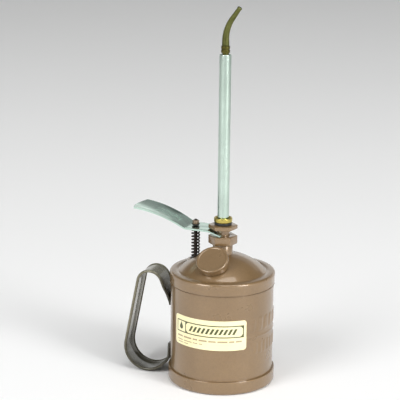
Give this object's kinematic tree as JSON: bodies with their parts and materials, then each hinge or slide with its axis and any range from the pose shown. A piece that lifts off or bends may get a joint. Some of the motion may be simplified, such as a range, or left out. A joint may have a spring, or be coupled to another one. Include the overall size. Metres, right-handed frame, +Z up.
{
  "type": "hand-pump oil can",
  "caption": "Round sheet-metal oil can with a side handle, thumb-lever plunger pump, screw filler cap and long rigid spout with a bent nozzle.",
  "frame": {"origin": "centre of the flat base, on the surface that the can stands on", "axes": "+Z up along the can's axis and the spout; -X towards the handle and thumb lever; -Y towards the filler cap"},
  "size_m": [0.1124, 0.0778, 0.2734],
  "materials": {
    "enamel": "semi-gloss baked bronze-brown enamel",
    "handle_enamel": "semi-gloss baked bronze-brown enamel",
    "label_paper": null,
    "zinc_plate": "bright zinc plate",
    "brass_bright": "machined",
    "brass_dull": "dull, oil-stained",
    "dark_steel": "oiled dark spring steel",
    "nut_bronze": "brown enamel over steel",
    "black_fibre": "oil-resistant gasket",
    "leather": "oiled pump leather"
  },
  "bodies": {
    "can": {"base_cup": "enamel", "can_wall": "enamel", "top_dome": "enamel", "label": "label_paper", "handle_strap": "handle_enamel", "filler_neck": "enamel", "pump_stem": "enamel", "stem_gasket": "black_fibre", "lower_hex_nut": "enamel", "upper_hex_flange": "enamel", "pump_cylinder": "zinc_plate", "discharge_tube": "zinc_plate", "foot_valve_body": "brass_bright", "ball_retainer": "brass_bright", "intake_tube": "zinc_plate", "inlet_strainer": "brass_bright", "rod_gland": "dark_steel", "rod_packing": "black_fibre", "outlet_spring": "dark_steel", "return_spring": "dark_steel", "spout_washer": "black_fibre"},
    "lever": {"lever": "zinc_plate"},
    "plunger": {"plunger_rod": "dark_steel", "rod_collar": "black_fibre", "rod_nut": "nut_bronze", "piston_washer": "brass_bright", "piston_cup": "leather", "piston_nut": "brass_bright"},
    "cap_seal": {"cap_gasket": "black_fibre"},
    "filler_cap": {"filler_cap": "enamel"},
    "spout": {"spout_collar": "brass_bright", "spout_tube": "zinc_plate", "tip_ferrule": "brass_bright", "spout_tip": "brass_dull"},
    "inlet_ball": {"inlet_ball": "zinc_plate"},
    "outlet_ball": {"outlet_ball": "zinc_plate"}
  },
  "joints": [
    {"name": "lever_press", "type": "hinge", "parent": "can", "child": "lever", "pos_m": [-0.0085, 0, 0.1112], "axis": [0, -1, 0], "range_deg": [0, 16], "stiffness_Nm_per_rad": 0.2, "springref_deg": -28.65},
    {"name": "plunger_stroke", "type": "slide", "parent": "can", "child": "plunger", "axis": [0, 0, -1], "range_m": [0, 0.0036], "deforming": ["return_spring"]},
    {"name": "cap_lift", "type": "slide", "parent": "can", "child": "cap_seal", "axis": [0.0256, -0.5872, 0.809], "range_m": [0, 0.0036]},
    {"name": "cap_turn", "type": "hinge", "parent": "cap_seal", "child": "filler_cap", "pos_m": [0.00083, -0.01893, 0.09205], "axis": [0.0256, -0.5872, 0.809], "range_deg": [0, 1080]},
    {"name": "spout_swivel", "type": "hinge", "parent": "can", "child": "spout", "pos_m": [0, 0, 0.1184], "axis": [0, 0, 1], "range_deg": [-180, 180]},
    {"name": "inlet_ball_lift", "type": "slide", "parent": "can", "child": "inlet_ball", "axis": [0, 0, 1], "range_m": [0, 0.00035]},
    {"name": "outlet_ball_lift", "type": "slide", "parent": "can", "child": "outlet_ball", "axis": [0, 0, 1], "range_m": [0, 0.001], "deforming": ["outlet_spring"]}
  ],
  "couplings": [
    {"joint": "plunger_stroke", "follows": "lever_press", "m_per_rad": 0.0128},
    {"joint": "cap_turn", "follows": "cap_lift", "rad_per_m": 5236}
  ]
}
